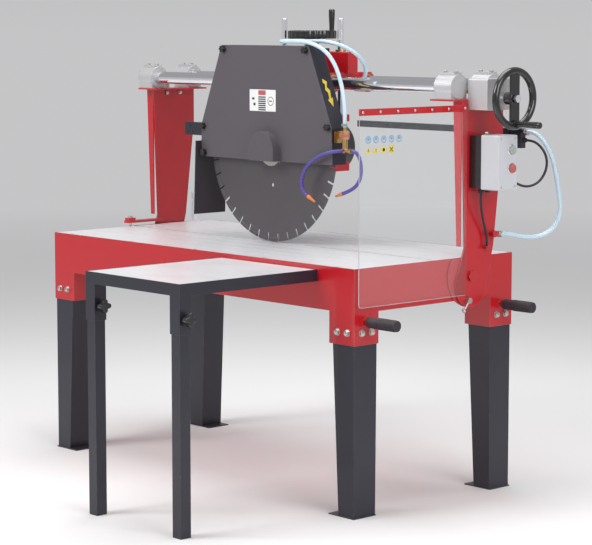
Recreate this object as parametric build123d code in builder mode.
"""Bridge saw with a tilting bridge, a sliding and lifting head and a water tub.

Every size is in millimetres.  The machine is laid out about a point on the floor
under the middle of the table: X runs along the rails, Y from the operator to the
back, Z up.  keep() shifts each finished piece to the centre of the machine's box.
"""
from math import atan2, cos, degrees, hypot, pi, radians, sin, tan
import os

from build123d import *

os.makedirs("parts", exist_ok=True)

# ---- tub, table and legs -----------------------------------------------------
tub_length = 1716.0
tub_width = 800.0
table_height = 868.0
tub_depth = 153.0
tub_wall = 3.0
collar_x = 124.0
collar_y = 116.0
collar_drop = 112.0
leg_top_x, leg_top_y = 111.0, 108.0
leg_foot_x, leg_foot_y = 77.0, 103.0
leg_wall = 4.0
leg_fit = 1.0                 # room between a leg and its collar
foot_plate = 4.0              # thickness of the plate under each leg
foot_tab = 46.0               # how far it reaches past the leg, inwards
anchor_hole = 6.5             # radius of the floor anchor hole in each tab
table_plate = 6.0
blade_slot = 16.0
table_gap = 2.0               # play between the table plates and the tub's rim

# ---- extension table ---------------------------------------------------------
ext_left, ext_right = 166.0, 673.0
ext_front = -1016.0
ext_top_z = 852.0
ext_frame_high = 41.0
ext_frame_wide = 38.0
ext_sheet = 3.0
sleeve_size = 50.0
sleeve_wall = 3.0
sleeve_bottom = 683.0
sleeve_xs = (ext_left + sleeve_size / 2, ext_right - sleeve_size / 2)
sleeve_y = ext_front + sleeve_size / 2
knob_z = sleeve_bottom + 52.0
ext_leg_top = 752.0
slide_fit = 0.4               # clearance of a sliding square tube, each side

# ---- bridge ------------------------------------------------------------------
column_gauge = 6.0
column_gap = 0.3              # between sliding plates at the tilt hinge
pivot_gauge = 6.0
pivot_y, pivot_z = 168.0, 800.0
pivot_radius = 12.0
lobe_z = 770.0
lobe_radius = 82.0
lock_y, lock_z = 148.0, 714.0
lock_radius = 6.0
tilt_range = 45.0
column_front, column_back = 115.0, 330.0
column_top = 1424.0
column_foot_back = 284.0
top_plate = 6.0
rail_radius = 24.0
rail_wall = 5.0
rail_z = 1474.0
rail_front_y, rail_back_y = 114.0, 299.0
rod_y = 0.5 * (rail_front_y + rail_back_y) - 3.5
clamp_radius = 44.0
clamp_long = 84.0
run_clearance = 0.05          # radial play of a bush on its rail, rod or shaft

# ---- drive housing, traverse screw and right handwheel -----------------------
gear_module = 2.0
gear_teeth = 18
gear_centres = gear_module * gear_teeth
wheel_y, wheel_z = rod_y, 1436.0
screw_y = wheel_y - 0.8 * gear_centres
screw_z = wheel_z + 0.6 * gear_centres
screw_radius = 11.0
housing_long = 92.0
housing_wide = 116.0
housing_high = 110.0
housing_wall = 5.0
housing_bottom = 1393.0
shaft_radius = 9.0
wheel_radius = 110.0
rim_radius = 13.0
wheel_reach = 165.7           # from the column's face to the right handwheel's rim
grip_reach = 122.0            # from there to the outer end of its crank grip
grip_arm = 90.0
grip_radius = 12.0

# ---- carriage, head and lift -------------------------------------------------
carriage_half = 221.0
bush_x = 180.0
bush_long = 60.0
bush_radius = 31.0
bush_housing = 38.0
beam_front, beam_back = 182.0, 232.0
beam_bottom, beam_top = 1508.0, 1590.0
rod_radius = 12.0
rod_x = 158.0
rod_top, rod_bottom = 1714.0, 1138.0
lift_radius = 14.0
lift_wheel_radius = 94.0
lift_wheel_z = 1653.0
lift_rim_high = 32.0
lift_grip_arm = 75.0
lift_grip_x = lift_grip_arm * cos(pi / 4)
lift_grip_y = rod_y + lift_grip_arm * sin(pi / 4)
machine_top = 1750.0          # top of the lift handwheel's grip

# ---- blade, arbor, guard and motor -------------------------------------------
blade_radius = 350.0
blade_core = 3.2
segment_thick = 4.4
segment_high = 12.0
segment_count = 38
gullet_wide = 8.0
pin_hole, pin_hole_down = 7.0, 135.0
arbor_z = table_height + 2.0 + blade_radius
arbor_radius = 15.0
flange_radius = 62.0
guard_front_y, guard_back_y = -31.0, 41.0
guard_gauge = 3.0
guard_bottom, guard_top = arbor_z - 41.0, arbor_z + 393.0
motor_radius = 92.0
motor_front, motor_back = 62.0, 300.0
fan_cover_back = 352.0

# ---- cable arm and control box -----------------------------------------------
arm_y, arm_z = 400.0, 1308.0
arm_size = 24.0
arm_left, arm_reach = 60.0, 35.7
box_base_deep, box_cover_deep = 59.7, 82.0
box_front, box_back = 150.0, 250.0
box_bottom, box_top = 1113.0, 1307.0
box_wall = 3.0
button_y = 215.0
button_zs = (1255.0, 1190.0)
button_radius = 16.0

# The outer ends of the machine, from which its middle is found.
column_outer = tub_length / 2 + pivot_gauge + column_gap + column_gauge
clamp_outer = column_outer + 38.0
wheel_plane_x = column_outer + wheel_reach
grip_tip_x = wheel_plane_x + grip_reach
arm_right = column_outer + arm_reach
box_left = column_outer + box_base_deep
box_right = box_left + box_cover_deep
tail_x, tail_y, tail_z = column_outer + 15.7, 290.0, 946.0
clip_x, clip_y = column_outer + 13.7, 236.0
centre_x = (grip_tip_x - clamp_outer) / 2
centre_y = (ext_front + arm_y + arm_size / 2) / 2
to_middle = Location((-centre_x, -centre_y, 0))


def keep(piece, name):
    """Label a finished piece, shift it to the machine's middle and write its STEP."""
    placed = piece.part.moved(to_middle)
    placed.label = name
    export_step(placed, f"parts/{name}.step")


def along_x(x, y, z):
    """A sketch plane facing +X whose local x is the machine's Y."""
    return Plane(origin=(x, y, z), x_dir=(0, 1, 0), z_dir=(1, 0, 0))


def along_y(x, y, z):
    """A sketch plane facing +Y whose local x is the machine's -X."""
    return Plane(origin=(x, y, z), x_dir=(-1, 0, 0), z_dir=(0, 1, 0))


def facing_front(x, y, z):
    """A sketch plane facing -Y whose local x is the machine's X."""
    return Plane(origin=(x, y, z), x_dir=(1, 0, 0), z_dir=(0, -1, 0))


def block(low, high, mode=Mode.ADD):
    """Add a box between two corners to the part being built."""
    middle = tuple((a + b) / 2 for a, b in zip(low, high))
    with Locations(middle):
        Box(*(b - a for a, b in zip(low, high)), mode=mode)


def rod(plane, radius, length, mode=Mode.ADD):
    """Add a round bar that starts at the plane and runs along its normal."""
    with BuildSketch(plane) as section:
        Circle(radius)
    extrude(section.sketch, amount=length, mode=mode)


def tube(plane, radius, bore, length):
    """Add a round tube that starts at the plane and runs along its normal."""
    with BuildSketch(plane) as section:
        Circle(radius)
        Circle(bore, mode=Mode.SUBTRACT)
    extrude(section.sketch, amount=length)


def hex_bolt(plane, head_flats, head_high, shank_radius, shank_long):
    """Add a hexagon bolt: its head stands on the plane and its shank goes below it."""
    with BuildSketch(plane) as head:
        RegularPolygon(head_flats / 2, 6, major_radius=False)
    extrude(head.sketch, amount=head_high)
    with BuildSketch(plane) as shank:
        Circle(shank_radius)
    extrude(shank.sketch, amount=-shank_long)


def gear_outline(teeth, module, phase=0.0):
    """Close a spur gear's outline from straight-flanked teeth with running backlash."""
    pitch = module * teeth / 2
    root, tip = pitch - 1.25 * module, pitch + 0.85 * module
    step = 2 * pi / teeth
    points = []
    for tooth in range(teeth):
        middle = tooth * step + phase
        for radius, half in ((root, 0.32), (pitch, 0.21), (tip, 0.11)):
            points.append((radius, middle - half * step))
        for radius, half in ((tip, 0.11), (pitch, 0.21), (root, 0.32)):
            points.append((radius, middle + half * step))
    Polyline(*((r * cos(a), r * sin(a)) for r, a in points), close=True)


# ============================= the frame ======================================
half_x, half_y = tub_length / 2, tub_width / 2
tub_bottom = table_height - tub_depth
corners = [(sx, sy) for sx in (-1, 1) for sy in (-1, 1)]

# Bolts: two on each outer face of a collar, where that face meets the leg.
bolt_z = tub_bottom - 69.0
bolt_from_corner = (34.0, 82.0)
bolt_radius = 6.0
bolt_hole = 6.3


def collar_bolt_planes():
    """Yield a plane on the outside of the collars for each bolt, facing outwards."""
    for sx, sy in corners:
        for inset in bolt_from_corner:
            x, y = sx * (half_x - inset), sy * (half_y - inset)
            yield Plane(origin=(x, sy * half_y, bolt_z), z_dir=(0, sy, 0))
            yield Plane(origin=(sx * half_x, y, bolt_z), z_dir=(sx, 0, 0))


grip_y = half_y - 55.0
grip_z = tub_bottom - 32.0
stub_long = 54.0
stub_radius = 15.0
ledge_wide, ledge_high = 24.0, 3.0
ledge_top = table_height - table_plate
drain_radius = 16.0
drain_x, drain_y = -620.0, 250.0

with BuildPart() as water_tub:
    block((-half_x, -half_y, tub_bottom), (half_x, half_y, table_height))
    block((-half_x + tub_wall, -half_y + tub_wall, tub_bottom + tub_wall),
          (half_x - tub_wall, half_y - tub_wall, table_height), Mode.SUBTRACT)
    for sx, sy in corners:
        x0, x1 = sorted((sx * half_x, sx * (half_x - collar_x)))
        y0, y1 = sorted((sy * half_y, sy * (half_y - collar_y)))
        low, high = tub_bottom - collar_drop, tub_bottom
        block((x0, y0, low), (x1, y1, high))
        block((x0 + tub_wall, y0 + tub_wall, low),
              (x1 - tub_wall, y1 - tub_wall, high), Mode.SUBTRACT)
    # Ledges inside the rim and two cross bars clear of the blade's travel.
    for sy in (-1, 1):
        y0, y1 = sorted((sy * (half_y - tub_wall), sy * (half_y - ledge_wide)))
        block((-half_x + tub_wall, y0, ledge_top - ledge_high),
              (half_x - tub_wall, y1, ledge_top))
    for x in (-half_x + 120, half_x - 120):
        block((x - 15, -half_y + tub_wall, ledge_top - 25),
              (x + 15, half_y - tub_wall, ledge_top))
    for sx in (-1, 1):
        x0, x1 = sorted((sx * (half_x - tub_wall), sx * (half_x - ledge_wide)))
        block((x0, -half_y + tub_wall, ledge_top - ledge_high),
              (x1, half_y - tub_wall, ledge_top))
    for plane in collar_bolt_planes():
        rod(plane, bolt_hole, -2 * tub_wall, Mode.SUBTRACT)
    # Stubs that carry the two lifting grips on the right end.
    for sy in (-1, 1):
        rod(along_x(half_x, sy * grip_y, grip_z), stub_radius, stub_long)
    with Locations((drain_x, drain_y, tub_bottom)):
        Cylinder(drain_radius, 4 * tub_wall, mode=Mode.SUBTRACT)
    for sx in (-1, 1):
        rod(along_x(sx * half_x, pivot_y, pivot_z), pivot_radius + 0.1,
            -sx * tub_wall, Mode.SUBTRACT)
keep(water_tub, "water_tub")


def leg_corner(sx, sy, size_x, size_y, inset):
    """Centre of a leg section that keeps its outer corner under the tub's corner."""
    return (sx * (half_x - inset - size_x / 2), sy * (half_y - inset - size_y / 2))


leg_inset = tub_wall + leg_fit
leg_top = tub_bottom - 4.0

with BuildPart() as legs:
    for sx, sy in corners:
        for trim, mode in ((0.0, Mode.ADD), (leg_wall, Mode.SUBTRACT)):
            for z, size_x, size_y in ((leg_top, leg_top_x, leg_top_y),
                                      (foot_plate, leg_foot_x, leg_foot_y)):
                with BuildSketch(Plane.XY.offset(z)):
                    with Locations(leg_corner(sx, sy, size_x, size_y, leg_inset)):
                        Rectangle(size_x - 2 * trim, size_y - 2 * trim)
            loft(mode=mode)
        # Foot plate: under the leg, with a tab that reaches inwards along X.
        x0, x1 = sorted((sx * (half_x - leg_inset + 4),
                         sx * (half_x - leg_inset - leg_foot_x - foot_tab)))
        y0, y1 = sorted((sy * (half_y - leg_inset + 4),
                         sy * (half_y - leg_inset - leg_foot_y)))
        block((x0, y0, 0), (x1, y1, foot_plate))
    for plane in collar_bolt_planes():
        rod(plane, bolt_hole, -4 * leg_wall, Mode.SUBTRACT)
    anchor_x = half_x - leg_inset - leg_foot_x - foot_tab / 2
    anchor_y = half_y - leg_inset - leg_foot_y / 2
    for sx, sy in corners:
        rod(Plane(origin=(sx * anchor_x, sy * anchor_y, 0)), anchor_hole,
            foot_plate, Mode.SUBTRACT)
keep(legs, "legs")

screw_xs = (-760.0, -380.0, 0.0, 380.0, 760.0)
screw_head = 8.0
screw_shank = 4.0
plate_half_x = half_x - tub_wall - table_gap
plate_outer_y = half_y - tub_wall - table_gap
screw_row_y = plate_outer_y - 9.0

with BuildPart() as frame_bolts:
    for plane in collar_bolt_planes():
        hex_bolt(plane, 19.0, 7.5, bolt_radius, 15.0)
        with BuildSketch(plane):
            Circle(13.0)
        extrude(amount=2.0)
    for sy in (-1, 1):
        for x in screw_xs:
            top = Plane(origin=(x, sy * screw_row_y, table_height))
            rod(top, screw_head - 0.2, -3.0)
            rod(top, screw_shank, -table_plate)
keep(frame_bolts, "frame_bolts")

with BuildPart() as carry_grips:
    for sy in (-1, 1):
        tip = half_x + stub_long
        tube(along_x(half_x + 18, sy * grip_y, grip_z), stub_radius + 4.2,
             stub_radius + 0.2, stub_long - 18)
        rod(along_x(tip + 0.3, sy * grip_y, grip_z), stub_radius + 4.2, 96.0)
        for ring in range(7):
            rod(along_x(tip + 10 + 12 * ring, sy * grip_y, grip_z), stub_radius + 5.4, 5.0)
keep(carry_grips, "carry_grips")

groove_wide, groove_deep = 5.0, 1.2


def table_half(side):
    """One bolted table plate, with shallow grooves and its countersunk screw holes."""
    y0, y1 = sorted((side * blade_slot / 2, side * plate_outer_y))
    with BuildPart() as plate:
        block((-plate_half_x, y0, ledge_top), (plate_half_x, y1, table_height))
        for share in (0.22, 0.42, 0.62, 0.82):
            y = side * share * plate_outer_y
            block((-plate_half_x, y - groove_wide / 2, table_height - groove_deep),
                  (plate_half_x, y + groove_wide / 2, table_height), Mode.SUBTRACT)
        for x in screw_xs:
            top = Plane(origin=(x, side * screw_row_y, table_height))
            rod(top, screw_head, -3.2, Mode.SUBTRACT)
            rod(top, screw_shank + 0.2, -table_plate, Mode.SUBTRACT)
    return plate


keep(table_half(-1), "table_front")
keep(table_half(1), "table_rear")

# Fixed tilt plates: each carries the hinge pin and the lock's curved slot.
slot_radius = hypot(lock_y - pivot_y, lock_z - pivot_z)
lock_angle = degrees(atan2(lock_z - pivot_z, lock_y - pivot_y))
slot_half = lock_radius + 0.6
plate_radius = slot_radius + 24.0

with BuildPart() as pivot_plates:
    for sx in (-1, 1):
        face = along_x(sx * half_x, pivot_y, pivot_z)
        with BuildSketch(face) as tilt_plate:
            Circle(plate_radius)
            with Locations((0, plate_radius + table_height - pivot_z - 6)):
                Rectangle(2 * plate_radius, 2 * plate_radius, mode=Mode.SUBTRACT)
            # The slot's centre line sweeps forwards from the lock by the tilt's angle.
            with BuildLine() as slot_line:
                CenterArc((0, 0), slot_radius, start_angle=lock_angle,
                          arc_size=-tilt_range - 1.0)
            SlotArc(slot_line.line.edge(), 2 * slot_half, mode=Mode.SUBTRACT)
        extrude(amount=sx * pivot_gauge)
    for sx in (-1, 1):
        start = along_x(sx * (half_x - tub_wall - 6), pivot_y, pivot_z)
        head = along_x(sx * (half_x + pivot_gauge + column_gap + column_gauge + 0.5),
                       pivot_y, pivot_z)
        rod(start, pivot_radius, sx * (tub_wall + 6 + pivot_gauge + column_gap
                                       + column_gauge + 1.0))
        with BuildSketch(head):
            RegularPolygon(17.0, 6, major_radius=False)
        extrude(amount=sx * 10.0)
keep(pivot_plates, "pivot_plates")

ext_back = -half_y
ext_frame_low = ext_top_z - ext_frame_high
with BuildPart() as extension_frame:
    # An angle-section ring: two side bars between a front and a back bar.
    wide, high = ext_frame_wide, ext_frame_high
    gauge = 4.0
    block((ext_left, ext_front, ext_frame_low), (ext_right, ext_back, ext_top_z))
    block((ext_left + gauge, ext_front + gauge, ext_frame_low),
          (ext_right - gauge, ext_back - gauge, ext_top_z), Mode.SUBTRACT)
    ledge_z = ext_top_z - ext_sheet - gauge - 0.5
    block((ext_left, ext_front, ledge_z), (ext_right, ext_back, ledge_z + gauge))
    block((ext_left + wide, ext_front + wide, ledge_z),
          (ext_right - wide, ext_back - wide, ledge_z + gauge), Mode.SUBTRACT)
    for x in sleeve_xs:
        block((x - sleeve_size / 2, sleeve_y - sleeve_size / 2, sleeve_bottom),
              (x + sleeve_size / 2, sleeve_y + sleeve_size / 2, ledge_z))
        inner = sleeve_size / 2 - sleeve_wall
        block((x - inner, sleeve_y - inner, sleeve_bottom),
              (x + inner, sleeve_y + inner, ledge_z - 4), Mode.SUBTRACT)
        rod(along_x(x + sleeve_size / 2 - sleeve_wall, sleeve_y, knob_z), 5.2, sleeve_wall,
            Mode.SUBTRACT)
keep(extension_frame, "extension_frame")

with BuildPart() as extension_top:
    play = 0.6
    block((ext_left + gauge + play, ext_front + gauge + play, ledge_z + gauge),
          (ext_right - gauge - play, ext_back - gauge - play, ledge_z + gauge + ext_sheet))
keep(extension_top, "extension_top")

ext_leg_size = sleeve_size - 2 * (sleeve_wall + slide_fit)
for side, x in zip(("left", "right"), sleeve_xs):
    with BuildPart() as ext_leg:
        half = ext_leg_size / 2
        y = sleeve_y
        block((x - half, y - half, 0), (x + half, y + half, ext_leg_top))
        block((x - half + 2.5, y - half + 2.5, 3), (x + half - 2.5, y + half - 2.5, ext_leg_top),
              Mode.SUBTRACT)
    keep(ext_leg, f"extension_leg_{side}")
    with BuildPart() as knob:
        # A four-lobed clamp knob; its screw stops just short of the inner leg.
        centre = (y, knob_z)
        start = x + sleeve_size / 2
        screw_long = sleeve_wall + slide_fit - 0.2
        rod(along_x(start - screw_long, *centre), 5.0, screw_long + 12)
        rod(along_x(start + 4, *centre), 9.0, 10)
        with BuildSketch(along_x(start + 14, *centre)):
            Circle(15)
            with PolarLocations(15, 4):
                Circle(9)
        extrude(amount=18)
        fillet(knob.faces().sort_by(Axis.X)[-1].edges(), 3)
    keep(knob, f"extension_knob_{side}")

pump_x, pump_y = 560.0, 250.0
with BuildPart() as water_pump:
    floor = tub_bottom + tub_wall
    rod(Plane(origin=(pump_x, pump_y, floor)), 52, 14)
    rod(Plane(origin=(pump_x, pump_y, floor + 14)), 44, 76)
    rod(Plane(origin=(pump_x, pump_y, floor + 90)), 30, 10)
    rod(along_x(pump_x + 40, pump_y, floor + 60), 9, 40)
keep(water_pump, "water_pump")

scale_x = -half_x + 8.0
with BuildPart() as angle_scale:
    # An upright graduated strip on an angle foot at the left end of the table.
    block((scale_x, 300, table_height), (scale_x + 3, 334, table_height + 122))
    block((scale_x, 300, table_height), (scale_x + 34, 334, table_height + 3))
    rod(Plane(origin=(scale_x + 20, 317, table_height + 3)), 6, 4)
keep(angle_scale, "angle_scale")

# ============================= the bridge =====================================
flange_top, flange_foot = 38.0, 18.0


def column(name, web_x, plate_x0, plate_x1, left_side):
    """A column: web outside the tub's end, tapering flanges towards -X, a top plate."""
    with BuildPart() as post:
        with BuildSketch(along_x(web_x, 0, 0)):
            with BuildLine():
                Polyline((column_front, column_top), (column_back, column_top),
                         (column_back, 1290), (column_foot_back, 905),
                         (pivot_y + lobe_radius, lobe_z), (pivot_y - lobe_radius, lobe_z),
                         (column_front + 18, 905), close=True)
            make_face()
            with Locations((pivot_y, lobe_z)):
                Circle(lobe_radius)
        extrude(amount=column_gauge)
        # The front flange tapers from the top plate down to the table.
        with BuildSketch(facing_front(0, column_front, 0)):
            with BuildLine():
                Polyline((web_x, column_top), (web_x - flange_top, column_top),
                         (web_x - flange_foot, table_height + 40),
                         (web_x, table_height + 40), close=True)
            make_face()
        extrude(amount=-column_gauge)
        with BuildSketch(facing_front(0, column_back, 0)):
            with BuildLine():
                Polyline((web_x, column_top), (web_x - flange_top, column_top),
                         (web_x - flange_top, 1290), (web_x, 1290), close=True)
            make_face()
        extrude(amount=column_gauge)
        block((plate_x0, column_front - 45, column_top),
              (plate_x1, column_back + 10, column_top + top_plate))
        rod(along_x(web_x, pivot_y, pivot_z), pivot_radius + run_clearance,
            column_gauge, Mode.SUBTRACT)
        rod(along_x(web_x, lock_y, lock_z), lock_radius + run_clearance,
            column_gauge, Mode.SUBTRACT)
        if not left_side:
            # Tail for the feed hose, and the clip for the pump's cable.
            rod(along_x(web_x, tail_y - 22, tail_z), 12, tail_x - web_x + 10)
            rod(along_y(tail_x, tail_y - 22, tail_z), 9, 22)
            block((web_x + column_gauge - 1, clip_y - 9, 893), (clip_x + 7, clip_y + 9, 904))
        if left_side:
            for plane_y in column_bolt_ys:
                rod(along_x(web_x, plane_y, column_top - 14), 5.2, column_gauge,
                    Mode.SUBTRACT)
            # The rest arm reaches forwards over the tub's rim.
            block((web_x, -40, table_height + 13),
                  (web_x + 30, column_front + 30, table_height + 23))
            block((web_x + 6, -40, table_height + 13), (web_x + 30, -4, table_height + 34))
            rod(Plane(origin=(web_x + 18, -22, table_height + 13)), 5.1, 21, Mode.SUBTRACT)
    keep(post, name)


left_web = -column_outer
right_web = column_outer - column_gauge
column_bolt_ys = (184.0, 254.0)
top_plate_long = 115.0
column("column_left", left_web, -clamp_outer, top_plate_long - clamp_outer, True)
column("column_right", right_web, column_outer - top_plate_long, column_outer, False)

clamp_xs = {"left": (-clamp_outer, -clamp_outer + clamp_long),
            "right": (right_web - 8 - clamp_long, right_web - 8)}
rail_left = -clamp_outer + 4.0
rail_right = clamp_xs["right"][1] - 4.0
clamp_seat = column_top + top_plate

for name, rail_y in (("rail_front", rail_front_y), ("rail_rear", rail_back_y)):
    with BuildPart() as rail:
        tube(along_x(rail_left, rail_y, rail_z), rail_radius, rail_radius - rail_wall,
             rail_right - rail_left)
    keep(rail, name)

clamp_bolt_xs = (16.0, clamp_long - 16.0)
with BuildPart() as rail_clamps:
    for low, high in clamp_xs.values():
        for rail_y in (rail_front_y, rail_back_y):
            rod(along_x(low, rail_y, rail_z), clamp_radius, high - low)
            block((low + 3, rail_y - 40, clamp_seat), (high - 3, rail_y + 40, rail_z))
            block((low + 8, rail_y - 20, rail_z + 30), (high - 8, rail_y + 20, rail_z + 50))
            rod(along_x(low + 3.9, rail_y, rail_z), rail_radius + 0.02,
                high - low - 7.8, Mode.SUBTRACT)
            for x in clamp_bolt_xs:
                rod(Plane(origin=(low + x, rail_y, rail_z + 50)), 4.2, -24, Mode.SUBTRACT)
    for low, high in clamp_xs.values():
        for rail_y in (rail_front_y, rail_back_y):
            if (low, rail_y) != (clamp_xs["right"][0], rail_front_y):
                rod(along_x(low - 1, rail_y, rail_z), rail_radius + 0.02, 6, Mode.SUBTRACT)
            if low < 0 or rail_y == rail_back_y:
                rod(along_x(high - 5, rail_y, rail_z), rail_radius + 0.02, 6, Mode.SUBTRACT)
            else:
                rod(along_x(low - 1, rail_y, rail_z), rail_radius + 0.02, 6, Mode.SUBTRACT)
    # End bearing of the traverse screw, on the left column's top plate.
    block((-clamp_outer + 20, screw_y - 13, clamp_seat),
          (-clamp_outer + 58, screw_y + 13, screw_z + 16))
    rod(along_x(-clamp_outer + 20, screw_y, screw_z), 8.0 + run_clearance, 38, Mode.SUBTRACT)
keep(rail_clamps, "rail_clamps")

bar_low, bar_high = 1388.0, 1411.0
curtain_bottom = 733.0
bar_front, bar_back = -396.0, 140.0
rivet_ys = (-378, -294, -210, -126, -42, 42, 126)
curtain_gauge = 2.0
bar_face = column_outer + curtain_gauge

with BuildPart() as bridge_bolts:
    for low, high in clamp_xs.values():
        for rail_y in (rail_front_y, rail_back_y):
            for x in clamp_bolt_xs:
                hex_bolt(Plane(origin=(low + x, rail_y, rail_z + 50)), 13.0, 6.0, 4.0, 20.0)
    for y in column_bolt_ys:
        hex_bolt(along_x(left_web + column_gauge, y, column_top - 14), 16.0, 6.0, 5.0, 5.8)
    for y in rivet_ys:
        rod(along_x(bar_face + 3.0, y, (bar_low + bar_high) / 2), 5.5, 2.0)
        rod(along_x(bar_face + 3.0, y, (bar_low + bar_high) / 2), 2.4, -2.9)
    # The rest arm's set screw, which stands on the tub's rim.
    hex_bolt(Plane(origin=(left_web + 18, -22, table_height + 34)), 17.0, 7.0, 5.0, 33.6)
keep(bridge_bolts, "bridge_bolts")

with BuildPart() as curtain_bar:
    # A flat bar that clamps the curtain and runs forwards from the right column.
    block((bar_face, bar_front, bar_low), (bar_face + 3.0, bar_back, bar_high))
    for y in rivet_ys:
        rod(along_x(bar_face, y, (bar_low + bar_high) / 2), 2.5, 3.0, Mode.SUBTRACT)
keep(curtain_bar, "curtain_bar")

with BuildPart() as splash_curtain:
    # A hanging sheet between the bar and the column's web.
    block((column_outer, bar_front + 2, curtain_bottom),
          (bar_face, bar_back - 1, bar_high - 2))
    for y in rivet_ys:
        rod(along_x(column_outer - 1, y, (bar_low + bar_high) / 2), 3.0, 4, Mode.SUBTRACT)
keep(splash_curtain, "splash_curtain")

housing_x0 = column_outer
housing_x1 = housing_x0 + housing_long
housing_y0 = wheel_y - housing_wide / 2 - 1.0
housing_y1 = housing_y0 + housing_wide
housing_top = housing_bottom + housing_high
hub_bore = shaft_radius + run_clearance
with BuildPart() as drive_housing:
    block((housing_x0, housing_y0, housing_bottom), (housing_x1, housing_y1, housing_top))
    fillet(drive_housing.edges().filter_by(Axis.X), 5)
    block((housing_x0 + housing_wall, housing_y0 + housing_wall, housing_bottom + housing_wall),
          (housing_x1 - housing_wall, housing_y1 - housing_wall, housing_top - housing_wall),
          Mode.SUBTRACT)
    tube(along_x(housing_x1 - 1, wheel_y, wheel_z), 22, hub_bore, 17)
    rod(along_x(housing_x1 - housing_wall - 1, wheel_y, wheel_z), hub_bore, 24, Mode.SUBTRACT)
    rod(along_x(housing_x0 - 1, screw_y, screw_z), 8.0 + run_clearance, 8, Mode.SUBTRACT)
keep(drive_housing, "drive_housing")

gear_x = housing_x0 + 24.0
gear_long = 16.0
with BuildPart() as traverse_screw:
    journal = 8.0
    left_end = -clamp_outer + 20.5
    right_end = gear_x + gear_long + 6
    rod(along_x(left_end, screw_y, screw_z), journal, right_end - left_end)
    rod(along_x(-clamp_outer + 60, screw_y, screw_z), screw_radius,
        right_web - 30 + clamp_outer - 60)
keep(traverse_screw, "traverse_screw")

# The wheel's gear stands forwards of the screw's and below it.
line_of_centres = radians(-36.86990)
with BuildPart() as screw_gear:
    with BuildSketch(along_x(gear_x, screw_y, screw_z)):
        with BuildLine():
            # A tooth gap faces the wheel's gear, along the line of centres.
            gear_outline(gear_teeth, gear_module, line_of_centres + pi / gear_teeth)
        make_face()
        Circle(journal + 0.02, mode=Mode.SUBTRACT)
    extrude(amount=gear_long)
keep(screw_gear, "screw_gear")

shaft_end = wheel_plane_x + 14.0
with BuildPart() as wheel_shaft:
    rod(along_x(gear_x - 6, wheel_y, wheel_z), shaft_radius, shaft_end - gear_x + 6)
    with BuildSketch(along_x(gear_x, wheel_y, wheel_z)):
        with BuildLine():
            gear_outline(gear_teeth, gear_module, line_of_centres + pi)
        make_face()
    extrude(amount=gear_long)
    with BuildSketch(along_x(shaft_end - 4, wheel_y, wheel_z)):
        RegularPolygon(13.0, 6, major_radius=False)
    extrude(amount=10)
keep(wheel_shaft, "wheel_shaft")

rim_centre = wheel_radius - rim_radius
grip_z1 = wheel_z - grip_arm
with BuildPart() as traverse_wheel:
    # Ring, one wide flat spoke right across it, and a hub behind the spoke.
    with Locations(Location((wheel_plane_x, wheel_y, wheel_z), (0, 90, 0))):
        Torus(rim_centre, rim_radius)
    with BuildSketch(along_x(wheel_plane_x - 4, wheel_y, wheel_z)):
        Rectangle(44, 2 * rim_centre)
    extrude(amount=8)
    rod(along_x(wheel_plane_x - 34, wheel_y, wheel_z), 22, 34)
    rod(along_x(wheel_plane_x - 34, wheel_y, wheel_z), shaft_radius + 0.02, 60, Mode.SUBTRACT)
    rod(along_x(wheel_plane_x - rim_radius - 1, wheel_y, grip_z1), 15.0, 2 * rim_radius + 2)
    rod(along_x(wheel_plane_x - 2 * rim_radius, wheel_y, grip_z1), 5.0 + run_clearance,
        4 * rim_radius, Mode.SUBTRACT)
keep(traverse_wheel, "traverse_wheel")


def crank_grip(name, plane, bolt_long, length):
    """A waisted grip on its own bolt; it stands on the plane and turns freely."""
    with BuildPart() as grip:
        with BuildSketch(plane.offset(-bolt_long)):
            Circle(5.0)
        extrude(amount=bolt_long + 6)
        with BuildSketch(Plane(origin=plane.origin, x_dir=plane.x_dir, z_dir=plane.y_dir)):
            with BuildLine():
                # Plane.z of the grip is this sketch's -y.
                Polyline((0, -0.4), (9.5, -0.4), (9.5, -4))
                Spline((9.5, -4), (grip_radius - 1.5, -0.35 * length),
                       (grip_radius, -0.75 * length), (grip_radius, 6 - length))
                RadiusArc((grip_radius, 6 - length), (grip_radius - 6, -length), 6)
                Polyline((grip_radius - 6, -length), (0, -length), (0, -0.4))
            make_face()
        revolve(axis=Axis(plane.origin, plane.z_dir))
    keep(grip, name)


grip_seat_x = wheel_plane_x + rim_radius + 1
crank_grip("traverse_grip", along_x(grip_seat_x, wheel_y, grip_z1), 2 * rim_radius + 4,
           grip_tip_x - grip_seat_x)

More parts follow.
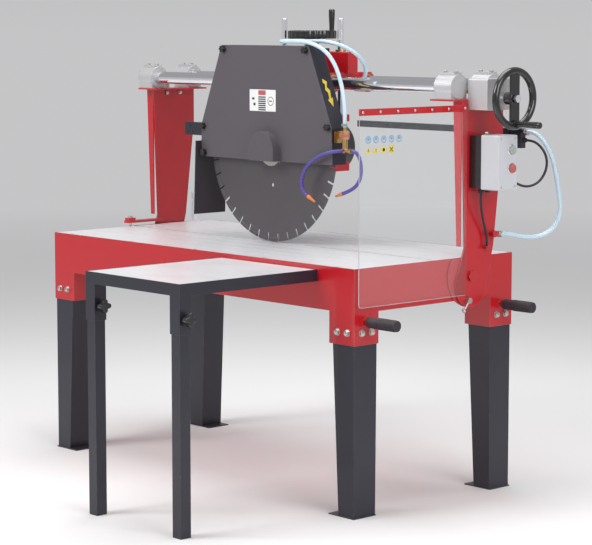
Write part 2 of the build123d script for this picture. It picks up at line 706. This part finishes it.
# ============================= the carriage ===================================
lift_flange = 12.0
with BuildPart() as carriage_frame:
    # A box beam around the guide rods, carried on bush housings by two end plates.
    with BuildSketch(along_x(-carriage_half, 0, 0)) as beam_section:
        with BuildLine():
            Polyline((beam_front, beam_bottom), (beam_front, beam_top - 4),
                     (beam_front + 4, beam_top), (beam_back - 34, beam_top))
            RadiusArc((beam_back - 34, beam_top), (beam_back, beam_top - 34), 34)
            Polyline((beam_back, beam_top - 34), (beam_back, beam_bottom),
                     (beam_front, beam_bottom))
        make_face()
    extrude(amount=2 * carriage_half)
    with BuildSketch(along_x(-carriage_half + 5, 0, 0)):
        with Locations(((beam_front + beam_back) / 2, (beam_bottom + beam_top) / 2 - 1)):
            Rectangle(beam_back - beam_front - 10, beam_top - beam_bottom - 12)
    extrude(amount=2 * carriage_half - 10, mode=Mode.SUBTRACT)
    for sx in (-1, 1):
        low = sx * bush_x - bush_long / 2
        for rail_y in (rail_front_y, rail_back_y):
            rod(along_x(low, rail_y, rail_z), bush_housing, bush_long)
        plate_x = sx * (bush_x + 14)
        block((plate_x - 4, rail_front_y - 30, rail_z - 26),
              (plate_x + 4, rail_back_y + 30, beam_bottom + 4))
        for rail_y in (rail_front_y, rail_back_y):
            rod(along_x(low - 1, rail_y, rail_z), bush_radius, bush_long + 2, Mode.SUBTRACT)
        # Room for the guide rod's sleeve through the beam.
        rod(Plane(origin=(sx * rod_x, rod_y, beam_bottom - 1)), 20.0, 100, Mode.SUBTRACT)
        rod(along_x(plate_x - 5, screw_y, screw_z), screw_radius + 4, 10, Mode.SUBTRACT)
    # The traverse nut hangs under the beam's left end.
    block((-150 - 25, screw_y - 18, screw_z - 18), (-150 + 25 - 6, screw_y + 18, beam_bottom + 2))
    rod(along_x(-180, screw_y, screw_z), screw_radius + 0.3, 60, Mode.SUBTRACT)
    rod(Plane(origin=(-rod_x, rod_y, screw_z - 30)), 20.0, 160, Mode.SUBTRACT)
    rod(Plane(origin=(0, rod_y, beam_bottom - 1)), lift_radius + 3, 100, Mode.SUBTRACT)
    # Hose coupling on the right end plate.
    rod(along_x(bush_x + 18, rod_y, rail_z), 9.0, 28.0)
keep(carriage_frame, "carriage_frame")

with BuildPart() as carriage_bushes:
    for sx in (-1, 1):
        for rail_y in (rail_front_y, rail_back_y):
            tube(along_x(sx * bush_x - bush_long / 2, rail_y, rail_z), bush_radius - 0.02,
                 rail_radius + run_clearance, bush_long)
        tube(Plane(origin=(sx * rod_x, rod_y, beam_bottom + 1)), 19.98,
             rod_radius + run_clearance, beam_top - beam_bottom + 6)
keep(carriage_bushes, "carriage_bushes")

with BuildPart() as lift_bearing:
    block((-104, beam_front + 2, beam_top), (104, beam_back - 36, beam_top + lift_flange))
    rod(Plane(origin=(0, rod_y, beam_top)), 30, 24)
    rod(Plane(origin=(0, rod_y, beam_top - 1)), lift_radius + 3, 40, Mode.SUBTRACT)
keep(lift_bearing, "lift_bearing")

with BuildPart() as lift_wheel:
    # The wheel's hub is the turning nut; the fixed screw rises through it.
    low = lift_wheel_z - lift_rim_high / 2
    tube(Plane(origin=(0, rod_y, low)), lift_wheel_radius, lift_wheel_radius - 16,
         lift_rim_high)
    with BuildSketch(Plane(origin=(0, rod_y, low + 8))):
        Rectangle(2 * (lift_wheel_radius - 10), 40)
        Rectangle(40, 2 * (lift_wheel_radius - 10))
    extrude(amount=9)
    rod(Plane(origin=(0, rod_y, beam_top + 24.3)), 26, low + 26 - beam_top - 24.3)
    rod(Plane(origin=(0, rod_y, beam_top + 20)), lift_radius + 0.3, 120, Mode.SUBTRACT)
    rod(Plane(origin=(lift_grip_x, lift_grip_y, low + 8)), 13.0, lift_rim_high - 8)
    rod(Plane(origin=(lift_grip_x, lift_grip_y, low)), 5.0 + run_clearance, 40, Mode.SUBTRACT)
keep(lift_wheel, "lift_wheel")

grip_base = Plane(origin=(lift_grip_x, lift_grip_y, low + lift_rim_high))
crank_grip("lift_grip", grip_base, lift_rim_high - 6, machine_top - grip_base.origin.Z)

# ============================= the head =======================================
plate_front, plate_back = guard_back_y, guard_back_y + 12.0
with BuildPart() as guide_rods:
    for sx in (-1, 1):
        rod(Plane(origin=(sx * rod_x, rod_y, rod_bottom)), rod_radius, rod_top - rod_bottom)
    chamfer(guide_rods.faces().group_by(Axis.Z)[-1].edges(), 1.5)
keep(guide_rods, "guide_rods")

bridge_low, bridge_high = 1326.0, 1352.0
with BuildPart() as motor_plate:
    # An upright plate behind the guard, with two arms back to each guide rod.
    block((-190, plate_front, rod_bottom), (190, plate_back, bridge_high))
    rod(along_y(0, plate_front, arbor_z), arbor_radius + 14, plate_back - plate_front,
        Mode.SUBTRACT)
    for sx in (-1, 1):
        for low, high in ((rod_bottom, rod_bottom + 34), (bridge_low, bridge_high)):
            x0, x1 = sorted((sx * (rod_x - 24), sx * (rod_x + 24)))
            block((x0, plate_back, low), (x1, rod_y + 24, high))
            rod(Plane(origin=(sx * rod_x, rod_y, low)), rod_radius + 0.01, high - low,
                Mode.SUBTRACT)
    # The bridge that holds the foot of the lift screw, above the motor.
    block((-rod_x + 24, rod_y - 24, bridge_low), (rod_x - 24, rod_y + 24, bridge_high))
    rod(Plane(origin=(0, rod_y, bridge_low)), lift_radius - 4 + 0.02, 40, Mode.SUBTRACT)
keep(motor_plate, "motor_plate")

with BuildPart() as lift_screw:
    rod(Plane(origin=(0, rod_y, bridge_low)), lift_radius - 4, bridge_high - bridge_low)
    rod(Plane(origin=(0, rod_y, bridge_high)), lift_radius, lift_wheel_z + 6 - bridge_high)
keep(lift_screw, "lift_screw")

with BuildPart() as motor_body:
    rod(along_y(0, plate_back, arbor_z), motor_radius + 8, 10)
    rod(along_y(0, plate_back + 10, arbor_z), motor_radius - 6, motor_back - plate_back - 10)
    with BuildSketch(along_y(0, motor_front + 12, arbor_z)):
        with PolarLocations(motor_radius - 5, 36):
            Rectangle(8, 2.4)
    extrude(amount=motor_back - motor_front - 24)
    block((-motor_radius - 34, 130, arbor_z - 42), (-motor_radius + 14, 220, arbor_z + 42))
    rod(along_y(0, plate_back, arbor_z), arbor_radius + run_clearance, 60, Mode.SUBTRACT)
keep(motor_body, "motor_body")

with BuildPart() as fan_cover:
    rod(along_y(0, motor_back + 0.2, arbor_z), motor_radius, fan_cover_back - motor_back - 0.2)
    fillet(fan_cover.faces().sort_by(Axis.Y)[-1].edges(), 12)
    rod(along_y(0, motor_back + 0.2, arbor_z), motor_radius - 3,
        fan_cover_back - motor_back - 5, Mode.SUBTRACT)
    rod(along_y(0, motor_back + 0.2, arbor_z), 14, fan_cover_back - motor_back - 4)
keep(fan_cover, "fan_cover")

# Guard outline in (x, z), from the lower left corner, clockwise.
guard_points = [(-361, guard_bottom), (-387, guard_bottom + 24), (-382, guard_bottom + 130),
                (-263, guard_top), (229, guard_top), (353, guard_bottom + 133),
                (358, guard_bottom)]


def guard_profile(inset, plane, bottom_extra=0.0):
    """Sketch the guard's outline on a plane facing the front, drawn in by an inset."""
    with BuildSketch(plane) as profile:
        with BuildLine():
            Polyline(*guard_points, close=True)
        make_face()
        if inset:
            offset(amount=-inset, kind=Kind.INTERSECTION, mode=Mode.REPLACE)
    return profile.sketch


boss_spots = [(-366, guard_bottom + 16), (-371, guard_bottom + 118),
              (-249, guard_top - 15), (215, guard_top - 15)]
knob_spots = boss_spots + [(337, guard_bottom + 138)]
front_plane = facing_front(0, guard_front_y + guard_gauge, 0)
back_plane = facing_front(0, guard_back_y - 0.4, 0)
shell_deep = guard_back_y - 0.4 - guard_front_y - guard_gauge - 0.2
with BuildPart() as guard_shell:
    extrude(guard_profile(0.0, back_plane), amount=shell_deep)
    inner_plane = facing_front(0, guard_back_y - 0.4 - guard_gauge, 0)
    extrude(guard_profile(guard_gauge, inner_plane), amount=shell_deep, mode=Mode.SUBTRACT)
    block((-356, guard_front_y, guard_bottom - 5), (354, guard_back_y - 0.4 - guard_gauge,
          guard_bottom + 8), Mode.SUBTRACT)
    rod(along_y(0, guard_back_y - 10, arbor_z), arbor_radius + 14, 12, Mode.SUBTRACT)
    block((-arbor_radius - 14, guard_back_y - 10, guard_bottom - 5),
          (arbor_radius + 14, guard_back_y + 2, arbor_z), Mode.SUBTRACT)
    # Bracket on the left side, next to the upper knob.
    block((-490, guard_front_y + guard_gauge, guard_bottom + 80),
          (-381.0, guard_front_y + guard_gauge + 4, guard_bottom + 131))
    for x, z in ((-462, 116), (-474, 92), (-445, 92)):
        rod(facing_front(x, guard_front_y + guard_gauge, guard_bottom + z), 5, 3.0)
    # Bosses behind the front plate, where there is room outside the blade.
    for x, z in boss_spots:
        rod(facing_front(x, guard_back_y - 0.4 - guard_gauge, z), 6.0,
            shell_deep - guard_gauge)
        rod(facing_front(x, guard_front_y + 12, z), 4.1, 20, Mode.SUBTRACT)
keep(guard_shell, "guard_shell")

boss_radius = 70.0
with BuildPart() as guard_plate:
    extrude(guard_profile(0.0, front_plane), amount=guard_gauge)
    with BuildSketch(facing_front(0, guard_front_y, 0)):
        with Locations((0, arbor_z)):
            Circle(boss_radius)
        with Locations((0, arbor_z - 40)):
            Rectangle(2 * boss_radius, 80)
        with Locations((0, guard_bottom - 60)):
            Rectangle(400, 120, mode=Mode.SUBTRACT)
    extrude(amount=34)
    with BuildSketch(facing_front(0, guard_front_y + guard_gauge, 0)):
        with Locations((0, arbor_z)):
            Circle(boss_radius - 3)
        with Locations((0, arbor_z - 60)):
            Rectangle(2 * boss_radius - 6, 120)
    extrude(amount=34 + guard_gauge - 3, mode=Mode.SUBTRACT)
    for x, z in knob_spots:
        rod(facing_front(x, guard_front_y + guard_gauge, z), 4.2, guard_gauge, Mode.SUBTRACT)
keep(guard_plate, "guard_plate")

with BuildPart() as guard_knobs:
    for x, z in knob_spots:
        rod(facing_front(x, guard_front_y + guard_gauge + 5, z), 4.0, guard_gauge + 9)
        with BuildSketch(facing_front(x, guard_front_y, z)):
            Circle(10)
            with PolarLocations(10, 6):
                Circle(3.4)
        extrude(amount=15)
keep(guard_knobs, "guard_knobs")

flap_top, flap_bottom = guard_bottom + 60.0, 950.0
with BuildPart() as splash_flap:
    # A rubber sheet hung outside the guard's left end, leaning out as it falls.
    with BuildSketch(facing_front(0, guard_front_y - 26, 0)):
        with BuildLine():
            Polyline((-385.7, flap_top), (-387.3, flap_top - 36), (-398, flap_bottom),
                     (-403, flap_bottom), (-392.3, flap_top - 36), (-390.7, flap_top),
                     close=True)
        make_face()
    extrude(amount=-158)
keep(splash_flap, "splash_flap")

valve_x, valve_y = 389.0, 4.0
valve_top, manifold_z = 1318.0, 1232.0
lever_z = 1290.0
port_front, port_right = 14.0, 37.0
with BuildPart() as water_valve:
    rod(Plane(origin=(valve_x, valve_y, manifold_z)), 11, lever_z - 16 - manifold_z)
    with BuildSketch(Plane(origin=(valve_x, valve_y, lever_z - 16))):
        RegularPolygon(15, 6, major_radius=False)
    extrude(amount=32)
    rod(Plane(origin=(valve_x, valve_y, lever_z + 16)), 8.0, valve_top - lever_z - 16)
    rod(along_x(valve_x - 15, valve_y, manifold_z), 8.5, 15 + port_right)
    rod(facing_front(valve_x, valve_y, manifold_z), 8.5, port_front)
    # The bracket that carries the valve on the guard's right side.
    block((357.0, valve_y - 8, lever_z - 12), (valve_x - 10, valve_y + 8, lever_z + 8))
    block((357.4, valve_y - 26, lever_z - 30), (361.0, valve_y + 26, lever_z + 14))
    rod(facing_front(valve_x, valve_y - 13, lever_z), 4.0, 9)
keep(water_valve, "water_valve")

with BuildPart() as valve_lever:
    tube(facing_front(valve_x, valve_y - 18.4, lever_z), 7.5, 4.0 + run_clearance, 4)
    block((valve_x + 6.5, valve_y - 21.9, lever_z - 5), (valve_x + 46, valve_y - 18.9, lever_z + 5))
keep(valve_lever, "valve_lever")


def soft_path(points):
    """Runs joined by tangent arcs, each as large as its two shorter runs allow."""
    spots = [Vector(*p) for p in points]
    runs = [b - a for a, b in zip(spots, spots[1:])]
    radii = []
    for first, second in zip(runs, runs[1:]):
        turn = radians(first.get_angle(second))
        radii.append(0.45 * min(first.length, second.length) / tan(turn / 2))
    return spots, radii


def soft_tube(points, radius):
    """Sweep a round tube along a softened path into the part being built."""
    spots, radii = soft_path(points)
    with BuildLine():
        path = FilletPolyline(*spots, radius=radii)
    with BuildSketch(Plane(origin=path @ 0, z_dir=path % 0)) as section:
        Circle(radius)
    sweep(section.sketch, path=path)
    return path.length, min(radii)


arm_front = [(valve_x, valve_y - port_front, manifold_z), (valve_x, -24, 1232),
             (382, -40, 1231), (366, -49, 1228), (340, -52, 1221), (308, -52, 1210),
             (278, -52, 1195), (250, -52, 1175), (228, -52, 1150), (216, -52, 1122),
             (214, -50, 1094), (226, -47, 1070), (250, -43, 1057), (276, -39, 1052)]
arm_back = [(valve_x + port_right, valve_y, manifold_z), (440, valve_y, 1232),
            (453, 8, 1222), (460, 13, 1203), (461, 18, 1178), (457, 22, 1152),
            (447, 25, 1128), (431, 27, 1108), (408, 28, 1092), (380, 28, 1080),
            (350, 27, 1070), (322, 26, 1062)]
with BuildPart() as coolant_arms:
    for route in (arm_front, arm_back):
        soft_tube(route, 7.0)
keep(coolant_arms, "coolant_arms")

# ============================= blade and arbor ================================
with BuildPart() as blade_disc:
    core_radius = blade_radius - segment_high
    rod(along_y(0, -blade_core / 2, arbor_z), core_radius, blade_core)
    rod(along_y(0, -blade_core, arbor_z), arbor_radius + 0.02, 2 * blade_core, Mode.SUBTRACT)
    pitch = 360 / segment_count
    with BuildSketch(along_y(0, -blade_core, arbor_z)):
        with PolarLocations(core_radius - 7, segment_count):
            SlotOverall(24, gullet_wide)
        with Locations((0, -pin_hole_down)):
            Circle(pin_hole)
    extrude(amount=2 * blade_core, mode=Mode.SUBTRACT)
keep(blade_disc, "blade_disc")

with BuildPart() as blade_segments:
    with BuildSketch(along_y(0, -segment_thick / 2, arbor_z)):
        Circle(blade_radius)
        Circle(core_radius + 0.02, mode=Mode.SUBTRACT)
        with PolarLocations(blade_radius - 6, segment_count):
            Rectangle(24, gullet_wide, mode=Mode.SUBTRACT)
    extrude(amount=segment_thick)
keep(blade_segments, "blade_segments")

with BuildPart() as arbor:
    # Motor shaft with the fixed flange behind the blade, the loose flange and the nut.
    rod(along_y(0, -30, arbor_z), arbor_radius, plate_back + 60 + 30 - 8)
    for y0 in (blade_core / 2 + 0.01, -blade_core / 2 - 12.01):
        rod(along_y(0, y0, arbor_z), flange_radius, 12)
    with BuildSketch(along_y(0, -28, arbor_z)):
        RegularPolygon(23, 6, major_radius=False)
    extrude(amount=14)
keep(arbor, "arbor")

# ============================= control box and arm ============================
gland_x, side_gland_x = column_outer + 34.7, column_outer + 99.7
with BuildPart() as box_base:
    # Black back box on the column, with two cable glands underneath.
    block((column_outer, box_front + 4, box_bottom + 4),
          (box_left, box_back - 4, box_top - 4))
    block((column_outer + 4, box_front + 8, box_bottom + 8),
          (box_left, box_back - 8, box_top - 8), Mode.SUBTRACT)
    for gland_y in (178.0, 214.0):
        tube(Plane(origin=(gland_x, gland_y, box_bottom - 14)), 9, 4.6, 19)
keep(box_base, "box_base")

with BuildPart() as box_cover:
    block((box_left, box_front, box_bottom), (box_right, box_back, box_top))
    fillet(box_cover.edges().filter_by(Axis.X), 6)
    fillet(box_cover.faces().sort_by(Axis.X)[-1].edges(), 4)
    block((box_left - 1, box_front + box_wall, box_bottom + box_wall),
          (box_right - box_wall, box_back - box_wall, box_top - box_wall), Mode.SUBTRACT)
    for z in button_zs:
        rod(along_x(box_right - 10, button_y, z), button_radius + 0.4, 12, Mode.SUBTRACT)
        tube(along_x(box_right - 0.5, button_y, z), button_radius + 4, button_radius + 0.4, 4)
    tube(along_y(side_gland_x, box_back - 1, 1140), 10, 4.6, 15)
    rod(along_y(side_gland_x, box_back - 5, 1140), 4.6, 8, Mode.SUBTRACT)
keep(box_cover, "box_cover")

for name, z in zip(("start_button", "stop_button"), button_zs):
    with BuildPart() as button:
        rod(along_x(box_right - 8, button_y, z), button_radius, 22)
        fillet(button.faces().sort_by(Axis.X)[-1].edges(), 3)
    keep(button, name)

with BuildPart() as cable_arm:
    # A square tube behind the rails, bolted to the right column's back flange.
    size = arm_size / 2
    block((arm_left, arm_y - size, arm_z - size), (arm_right, arm_y + size, arm_z + size))
    block((arm_left - 1, arm_y - size + 3, arm_z - size + 3),
          (arm_right - 24, arm_y + size - 3, arm_z + size - 3), Mode.SUBTRACT)
    block((arm_right - 24, arm_y - size, 1249), (arm_right, arm_y + size, arm_z))
    block((right_web - 40, column_back + 0.3, arm_z - size),
          (right_web - 20, arm_y - size, arm_z + size))
    block((right_web - 44, column_back + 0.3, arm_z - 30),
          (right_web - 6, column_back + 6.3, arm_z + 30))
    rod(along_x(arm_right, arm_y - 5, arm_z + 2), 8.5, 12)
    rod(along_x(arm_right, arm_y + 1, arm_z - 30), 8.5, 12)
keep(cable_arm, "cable_arm")

for side, web_x, out in (("left", left_web, -1), ("right", right_web + column_gauge, 1)):
    with BuildPart() as lock:
        # A screw through the column with a nut behind the fixed plate's slot and a lever.
        face = along_x(web_x + out * 0.3, lock_y, lock_z)
        rod(face, lock_radius, -out * (column_gauge + column_gap + 0.3 + pivot_gauge - 0.8))
        rod(face, 11.0, out * 16)
        tip = Vector(web_x + out * 16.3, lock_y, lock_z)
        down = Plane(origin=tip - Vector(out * 4.5, 0, 0), x_dir=(1, 0, 0),
                     z_dir=(0, -0.64, -0.77))
        rod(down, 3.6, 40)
        with Locations(down.origin + down.z_dir * 44):
            Sphere(8.0)
    keep(lock, f"tilt_lock_{side}")

# ============================= hoses and cables ===============================
hose_radius = 8.0
cable_radius = 4.5
head_hose_radius = 7.5

turn_radius = 52.0
turn_x, turn_y, turn_z = 98.0, 22.0, 1630.0
corner_angle = pi / 7
turn_points = [(turn_x - turn_radius / cos(corner_angle / 2) * sin((k + 0.5) * corner_angle),
                turn_y - turn_radius / cos(corner_angle / 2) * cos((k + 0.5) * corner_angle),
                turn_z) for k in range(7)]
lane_front, lane_back = turn_y - turn_radius, turn_y + turn_radius

feed_route = [(0, -5, 2), (36, -5, 2), (66, 2, -14), (84, 20, -48), (88, 46, -94),
              (80, 74, -148), (68, 102, -206), (58, 126, -262), (48, 134, -312),
              (36, 120, -352), (20, 86, -376), (2, 42, -384), (-14, -4, -380),
              (-28, -46, -368)]
box_route = [(0, 1, -30), (28, 1, -30), (54, 7, -42), (72, 18, -67), (79, 26, -97),
             (77, 26, -129), (70, 16, -159), (62, -5, -181), (56, -36, -191),
             (52, -69, -190), (52, -100, -180), (52, -124, -171)]
arm_end = (arm_right + 12, arm_y, arm_z)


def from_arm_end(route):
    """Places a route whose points are given from the end of the cable arm."""
    return [tuple(a + b for a, b in zip(arm_end, point)) for point in route]


cords = {
    "feed_hose": (hose_radius, from_arm_end(feed_route) + [
        (tail_x, 318, tail_z), (tail_x, tail_y, tail_z)]),
    "head_hose": (head_hose_radius, [
        (valve_x, valve_y, valve_top), (389, 4, 1352), (385, 6, 1396), (376, 7, 1442),
        (363, 6, 1488), (347, 2, 1532), (324, -5, 1572), (292, -14, 1602),
        (252, -22, 1620), (206, -27, 1628), (164, lane_front + 1, turn_z),
        (124, lane_front + 0.5, turn_z - 1)] + turn_points + [
        (124, lane_back - 0.5, turn_z - 1), (164, lane_back - 1, turn_z), (204, 72, 1630),
        (246, 80, 1624), (282, 98, 1612), (308, 126, 1592), (318, 158, 1564),
        (312, 186, 1534), (296, 200, 1504), (274, 205, 1483), (250, rod_y, rail_z),
        (bush_x + 46, rod_y, rail_z)]),
    "box_cable": (cable_radius, from_arm_end(box_route) + [
        (side_gland_x, box_back + 14, 1140)]),
    "pump_cable": (cable_radius, [
        (gland_x, 178, box_bottom - 14), (gland_x, 178, 1072), (gland_x - 4, 186, 1040),
        (gland_x - 11, 201, 1008), (gland_x - 17, 217, 978), (gland_x - 20, 230, 950),
        (clip_x, clip_y, 926), (clip_x, clip_y, 904)]),
}
for name, (radius, points) in cords.items():
    with BuildPart() as cord:
        length, tightest = soft_tube(points, radius)
    keep(cord, name)
    filled = cord.part.volume / (pi * radius ** 2 * length)
    print(f"{name}: {length:.0f} mm long, tightest bend {tightest:.0f} mm, "
          f"{tightest / (2 * radius):.1f} diameters, volume ratio {filled:.4f}")
